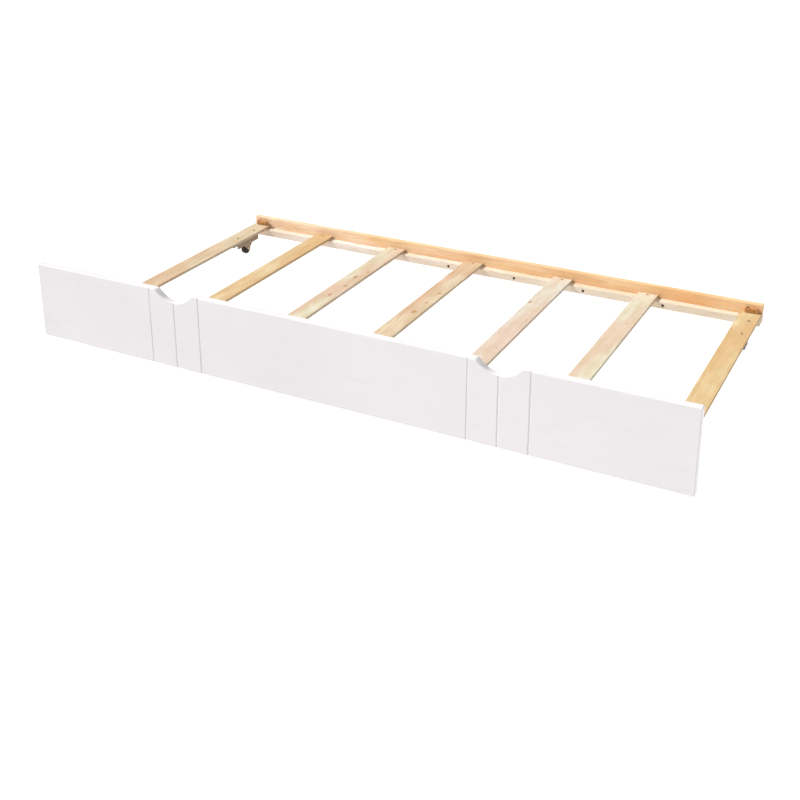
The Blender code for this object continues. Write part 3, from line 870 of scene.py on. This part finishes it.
def build_bracket(box, holes, finish):
    """A channel of bent sheet whose cheeks taper to a round boss at the axle, with its holes."""
    low, high = box
    half_width, half_length = high.x, high.y
    skirt = high.z - SKIRT_DEPTH
    foot = low.z - SHEET
    inner = half_width - SHEET
    section = rounded([
        (-half_width, foot, 0), (-half_width, high.z, BEND_RADIUS), (half_width, high.z, BEND_RADIUS),
        (half_width, foot, 0), (inner, foot, 0), (inner, high.z - SHEET, BEND_RADIUS - SHEET),
        (-inner, high.z - SHEET, BEND_RADIUS - SHEET), (-inner, foot, 0),
    ])
    channel = prism_bmesh(section, 2 * half_length, OUTLINE_IN_XZ)
    bmesh.ops.translate(channel, vec=(0, -half_length, 0), verts=channel.verts)
    bracket = make_object("bracket_pattern", channel, finish)

    corner = Vector((-DROP_HALF_LENGTH, skirt))
    touch = math.degrees(math.atan2(corner.y, corner.x) + math.acos(BOSS_RADIUS / corner.length))
    boss = arc((0, 0), BOSS_RADIUS, touch, 540 - touch, 20)
    above = high.z + SHEET
    outline = rounded([
        (-half_length, above, 0), (-half_length, skirt, SKIRT_CORNER_RADIUS),
        (-DROP_HALF_LENGTH, skirt, DROP_FILLET), *[(y, z, 0) for y, z in boss],
        (DROP_HALF_LENGTH, skirt, DROP_FILLET), (half_length, skirt, SKIRT_CORNER_RADIUS),
        (half_length, above, 0),
    ])
    cheeks = prism_bmesh(outline, 4 * half_width, OUTLINE_IN_YZ)
    bmesh.ops.translate(cheeks, vec=(-2 * half_width, 0, 0), verts=cheeks.verts)
    carve(bracket, cheeks, "INTERSECT")

    carve(bracket, bore_bmesh(AXLE_RADIUS + CLEARANCE, 2 * half_width, AXLE_SEGMENTS, ALONG_X))
    for hole in holes:
        carve(bracket, hole)
    ease(bracket, SHEET_EASE, 2)
    smooth_shading(bracket)
    return bracket


def build_rivet(box, bracket_box, finish):
    """The axle: a rivet with a round head against the outside of each cheek."""
    high = box[1]
    seat = bracket_box[1].x + CLEARANCE
    head = dome(high.y, HEAD_SIDE, high.x - seat)
    profile = mirrored([(radius, seat + height) for radius, height in head] + [(AXLE_RADIUS, seat)])
    obj = make_object("rivet_pattern", turned_bmesh(profile, AXLE_SEGMENTS, ALONG_X), finish)
    smooth_shading(obj)
    return obj


def build_core(box, tread_box, finish):
    """A moulded wheel: hub, recessed web, rim and ribs."""
    rim = tread_box[1].z - TREAD_THICKNESS - CLEARANCE
    rim_inside = rim - RIM_THICKNESS
    rim_half = tread_box[1].x - RIM_INSET
    web_half = rim_half - WEB_RECESS
    hub_half = box[1].x
    bore, soft = AXLE_RADIUS + CLEARANCE, WHEEL_EASE
    profile = mirrored([
        (bore, hub_half - soft), (bore + soft, hub_half),
        (HUB_RADIUS - soft, hub_half), (HUB_RADIUS, hub_half - soft),
        (HUB_RADIUS, web_half + soft), (HUB_RADIUS + soft, web_half),
        (rim_inside - soft, web_half), (rim_inside, web_half + soft),
        (rim_inside, rim_half - soft), (rim_inside + soft, rim_half),
        (rim - soft, rim_half), (rim, rim_half - soft),
    ])
    obj = make_object("core_pattern", turned_bmesh(profile, WHEEL_SEGMENTS, ALONG_X), finish)
    inner, outer = HUB_RADIUS - soft, rim_inside + soft
    depth = rim_half - 3 * soft
    for step in range(RIB_COUNT):
        outline = [(inner, -RIB_THICKNESS / 2), (outer, -RIB_THICKNESS / 2),
                   (outer, RIB_THICKNESS / 2), (inner, RIB_THICKNESS / 2)]
        turn = Matrix.Rotation(2 * math.pi * step / RIB_COUNT, 4, "Z")
        rib = prism_bmesh(outline, 2 * depth, ALONG_X @ turn @ Matrix.Translation((0, 0, -depth)))
        carve(obj, rib, "UNION")
    smooth_shading(obj)
    return obj


def build_tread(box, finish):
    """A rubber tyre with rounded shoulders and a fine moulding line round its middle."""
    radius, half = box[1].z, box[1].x
    running = radius - SEAM_HEIGHT
    edge = []
    for step in range(TREAD_EDGE_STEPS + 1):
        angle = math.radians(90) * step / TREAD_EDGE_STEPS
        drop = TREAD_EDGE_DROP * (1 - math.sin(angle))
        edge.append((running - drop, half - TREAD_EDGE_WIDTH * (1 - math.cos(angle))))
    seam = [(running, SEAM_HALF_WIDTH), (radius, SEAM_HALF_WIDTH / 2)]
    inside = radius - TREAD_THICKNESS
    profile = mirrored([(inside, half - CLEARANCE), (inside + CLEARANCE, half), *edge, *seam])
    obj = make_object("tread_pattern", turned_bmesh(profile, TREAD_SEGMENTS, ALONG_X), finish)
    smooth_shading(obj)
    return obj


def build_bolt(box, finish):
    """A round-headed bolt, drawn from its seat on the slat: cross recess, plain shank, threaded end."""
    low, high = box
    tip = low.z
    thread_start, thread_end = tip + BOLT_THREAD, tip + BOLT_PITCH / 2
    ridges = thread(BOLT_RADIUS, BOLT_CORE_RADIUS, BOLT_PITCH, thread_start, thread_end)
    profile = [
        *dome(high.x, HEAD_SIDE, high.z), (BOLT_RADIUS, 0), (BOLT_RADIUS, thread_start + BOLT_PITCH / 2),
        *ridges[:-1], (BOLT_CORE_RADIUS, thread_end), (BOLT_CORE_RADIUS * BOLT_TIP, tip), (0, tip),
    ]
    obj = make_object("bolt_pattern", turned_bmesh(profile, SCREW_SEGMENTS), finish)
    for slot in cross_recess(top=high.z, **BOLT_RECESS):
        carve(obj, slot)
    smooth_shading(obj)
    return obj


def build_nut(finish):
    """A hexagon nut with chamfered corners, hanging down from z = 0."""
    corner = NUT_HALF_WIDTH / math.cos(math.radians(30))
    bore = BOLT_RADIUS + CLEARANCE / 2
    hexagon = prism_bmesh(arc((0, 0), corner, 0, 300, 5), NUT_HEIGHT, Matrix.Translation((0, 0, -NUT_HEIGHT)))
    obj = make_object("nut_pattern", hexagon, finish)
    flat, slope = NUT_HALF_WIDTH, NUT_CHAMFER * 0.6
    outer = corner + NUT_CHAMFER
    rise = slope * (outer - flat) / (corner - flat)
    profile = [(bore, 0), (flat, 0), (outer, -rise), (outer, rise - NUT_HEIGHT), (flat, -NUT_HEIGHT),
               (bore, -NUT_HEIGHT)]
    carve(obj, turned_bmesh(profile, NUT_SEGMENTS), "INTERSECT")
    smooth_shading(obj)
    return obj


def about(node, origin):
    """A CAD node's box, seen from a point."""
    low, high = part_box(node)
    return low - origin, high - origin


def axle_centre(tag):
    low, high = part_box(f"caster_tread_{tag}")
    return (low + high) / 2


def bolt_seat(tag, number):
    """Where a bolt's head sits: the middle of the node, at the top of the slat."""
    low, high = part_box(f"caster_bolt_{tag}_{number}")
    slat_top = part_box("slat_1")[1].z + CLEARANCE
    return Vector(((low.x + high.x) / 2, (low.y + high.y) / 2, slat_top))


def bolt_hole(seat):
    place = Matrix.Translation(seat)
    return bore_bmesh(BOLT_RADIUS + CLEARANCE, BOLT_HOLE_REACH, SCREW_SEGMENTS, place)


CASTER_SLOTS = {"bracket": "bracket_steel", "axle": "zinc_steel", "wheel": "wheel_nylon",
                "tread": "tread_rubber"}


def build_casters(finishes):
    """Draws one caster's pieces from the first one's nodes, and places copies at all four."""
    first = TAGS[0]
    origin = axle_centre(first)
    boxes = {kind: about(f"caster_{kind}_{first}", origin) for kind in CASTER_SLOTS}
    bolt_holes = [bolt_hole(bolt_seat(first, number) - origin) for number in (1, 2)]
    zinc = finishes["zinc_steel"]
    patterns = {
        "bracket": build_bracket(boxes["bracket"], bolt_holes, finishes["bracket_steel"]),
        "axle": build_rivet(boxes["axle"], boxes["bracket"], zinc),
        "wheel": build_core(boxes["wheel"], boxes["tread"], finishes["wheel_nylon"]),
        "tread": build_tread(boxes["tread"], finishes["tread_rubber"]),
    }
    bolt = build_bolt(about(f"caster_bolt_{first}_1", bolt_seat(first, 1)), zinc)
    nut = build_nut(zinc)
    plate_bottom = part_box(f"caster_bracket_{first}")[1].z - SHEET - CLEARANCE
    for index, tag in enumerate(TAGS):
        for kind, pattern in patterns.items():
            node = f"caster_{kind}_{tag}"
            obj = copy_at(pattern, f"{node}_detailed", Matrix.Translation(axle_centre(tag)))
            install(obj, node)
        for number in (1, 2):
            seat = bolt_seat(tag, number)
            turn = Matrix.Rotation(math.radians(29 * (2 * index + number)), 4, "Z")
            node = f"caster_bolt_{tag}_{number}"
            install(copy_at(bolt, f"{node}_detailed", Matrix.Translation(seat) @ turn), node)
            under = Matrix.Translation((seat.x, seat.y, plate_bottom))
            hexagon = copy_at(nut, f"caster_nut_{tag}_{number}", under @ turn)
            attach(hexagon, "frame")
    for pattern in [bolt, nut, *patterns.values()]:
        bpy.data.objects.remove(pattern, do_unlink=True)


# ---- finishes and boards of this bed ----

# The axes along a board, across it and through it.
SLAT_ORDER = (1, 0, 2)
RAIL_ORDER = (0, 2, 1)
CLEAT_ORDER = (0, 1, 2)
BLOCK_ORDER = (0, 1, 2)
SLAT_SIDE_SHADE = 0.66            # painted shade on the slats' narrow sides

# Each slat: its pale and its blushed earlywood, its latewood, its pith and lean, and its knots.
SLATS = {
    "slat_1": dict(early=srgb(219, 204, 175), blush=srgb(214, 182, 151), late=srgb(192, 162, 123),
                   pith=(0.040, -0.050), lean=0.02),
    "slat_2": dict(early=srgb(224, 205, 165), blush=srgb(217, 180, 132), late=srgb(196, 159, 110),
                   pith=(-0.042, -0.034), lean=-0.03),
    "slat_3": dict(early=srgb(224, 221, 198), blush=srgb(220, 193, 171), late=srgb(196, 167, 125),
                   pith=(0.032, -0.030), lean=0.03,
                   knots=((0.205, 0.003, 0.0078), (0.125, 0.012, 0.0059), (0.262, 0.018, 0.0046),
                          (0.040, 0.004, 0.0065), (-0.270, -0.012, 0.0052))),
    "slat_4": dict(early=srgb(223, 207, 178), blush=srgb(218, 184, 156), late=srgb(194, 159, 116),
                   pith=(-0.036, -0.030), lean=-0.02,
                   knots=((0.205, 0.014, 0.0059), (0.120, 0.010, 0.0052), (0.040, 0.006, 0.0084),
                          (-0.300, 0.010, 0.0052))),
    "slat_5": dict(early=srgb(225, 220, 207), blush=srgb(222, 199, 185), late=srgb(202, 176, 141),
                   pith=(0.030, -0.024), lean=0.01,
                   knots=((0.138, 0.016, 0.0029), (0.270, -0.022, 0.0059), (-0.080, 0.013, 0.0033))),
    "slat_6": dict(early=srgb(223, 220, 197), blush=srgb(221, 199, 178), late=srgb(203, 176, 139),
                   pith=(0.044, -0.030), lean=-0.01, knots=((0.250, 0.010, 0.0029),)),
    "slat_7": dict(early=srgb(223, 202, 158), blush=srgb(218, 181, 134), late=srgb(200, 165, 111),
                   pith=(-0.048, -0.050), lean=0.02),
}


def make_finishes():
    finishes = {
        node: pine(f"pine_{node}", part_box(node), SLAT_ORDER, seed=3.7 * index, side_shade=SLAT_SIDE_SHADE, **look)
        for index, (node, look) in enumerate(SLATS.items(), start=1)
    }
    finishes["rear_rail"] = pine(
        "pine_rail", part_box("rear_rail"), RAIL_ORDER, early=srgb(255, 229, 201), far=srgb(245, 192, 136),
        blush=srgb(252, 216, 170), late=srgb(233, 177, 117), seed=41.0, pith=(0.004, -0.040), spacing=0.0034,
        taper=2.5, contrast=0.5, roughness=0.46, coat=0.05)
    for index, side in enumerate(SIDES):
        finishes[f"{side}_cleat"] = pine(
            f"pine_{side}_cleat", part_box(f"{side}_cleat"), CLEAT_ORDER, early=srgb(252, 240, 235),
            far=srgb(235, 219, 200), blush=srgb(236, 217, 198), late=srgb(215, 192, 158),
            seed=53.0 + 7 * index, pith=(0.020, -0.030), spacing=0.0022, taper=3.0,
            knots=((0.52 - index, 0.004, 0.0035),))
    tread_low, tread_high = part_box(f"caster_tread_{TAGS[0]}")
    finishes.update({
        "white_paint": satin_paint("satin_white_paint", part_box("front_panel")),
        "brown_plastic": plastic("brown_plastic", srgb(187, 130, 78), srgb(205, 151, 102), 0.42),
        "brass_screw": metal("brass_plating", srgb(214, 172, 98), srgb(168, 122, 62), 0.34),
        "dark_screw": metal("dark_plating", srgb(92, 82, 72), srgb(58, 50, 44), 0.40),
        "bracket_steel": metal("brown_grey_steel", srgb(154, 132, 110), srgb(136, 114, 93), 0.48, 0.10),
        "zinc_steel": metal("yellowed_zinc", srgb(224, 206, 172), srgb(196, 170, 130), 0.50, 0.08),
        "wheel_nylon": plastic("black_nylon", srgb(26, 26, 27), srgb(40, 40, 41), 0.42),
        "tread_rubber": rubber("black_rubber", (tread_high.z - tread_low.z) / 2),
    })
    return finishes


def build_bed():
    finishes = make_finishes()
    screws = screw_places()
    holes = {}
    for _, place, length, pieces, _ in screws:
        for piece in pieces:
            holes.setdefault(piece, []).append(screw_hole(place, length))
    for side in SIDES:
        for end, slat in END_SLATS.items():
            holes[slat] += [bolt_hole(bolt_seat(f"{side}_{end}", number)) for number in (1, 2)]

    build_panel(holes["front_panel"], finishes["white_paint"])
    rail = "rear_rail"
    build_board(rail, RAIL_ORDER, finishes[rail], holes[rail], LONG_PIECES, seed=1)
    for seed, side in enumerate(SIDES, start=2):
        node = f"{side}_cleat"
        build_board(node, CLEAT_ORDER, finishes[node], holes[node], LONG_PIECES, seed)
    for seed, node in enumerate(SLATS, start=5):
        build_board(node, SLAT_ORDER, finishes[node], holes[node], SLAT_PIECES, seed)
    for tag in TAGS:
        node = f"corner_block_{tag}"
        build_board(node, BLOCK_ORDER, finishes["brown_plastic"], holes[node],
                    BLOCK_PIECES, seed=0, arris=BLOCK_EASE)
    build_screws(screws, finishes)
    build_casters(finishes)


# ---- stage, light and camera ----

def add_sun(name, energy, softness, source):
    light = bpy.data.lights.new(name, "SUN")
    light.energy = energy
    light.angle = math.radians(softness)
    light_object = add_object(name, light)
    light_object.rotation_mode = "QUATERNION"
    light_object.rotation_quaternion = Vector(source).to_track_quat("Z", "Y")


def build_stage():
    """A white floor and background, a key light from the left and a very soft fill from the right."""
    low, _ = CAD_BOX
    bm = bmesh.new()
    bmesh.ops.create_grid(bm, x_segments=4, y_segments=4, size=FLOOR_HALF_SIZE)
    bmesh.ops.translate(bm, vec=(0, 0, low.z - FLOOR_DROP), verts=bm.verts)
    floor = make_object("floor", bm, pale_floor())

    world = bpy.data.worlds.new("soft_white")
    world.use_nodes = True
    background = world.node_tree.nodes["Background"]
    background.inputs["Color"].default_value = WHITE
    background.inputs["Strength"].default_value = WORLD_STRENGTH
    bpy.context.scene.world = world
    bpy.context.scene.view_settings.view_transform = "Standard"
    add_sun("key", **KEY_LIGHT)
    add_sun("fill", **FILL_LIGHT)


def build_camera():
    """Looks down at the bed from the front right."""
    camera = bpy.data.cameras.new("camera")
    camera.lens = CAMERA_LENS
    camera.shift_y = CAMERA_SHIFT
    camera_object = add_object("camera", camera)
    camera_object.location = CAMERA_PLACE
    camera_object.rotation_euler = (math.radians(90 - CAMERA_DOWN), 0, math.radians(CAMERA_TURN))
    bpy.context.scene.camera = camera_object


build_bed()
build_stage()
build_camera()
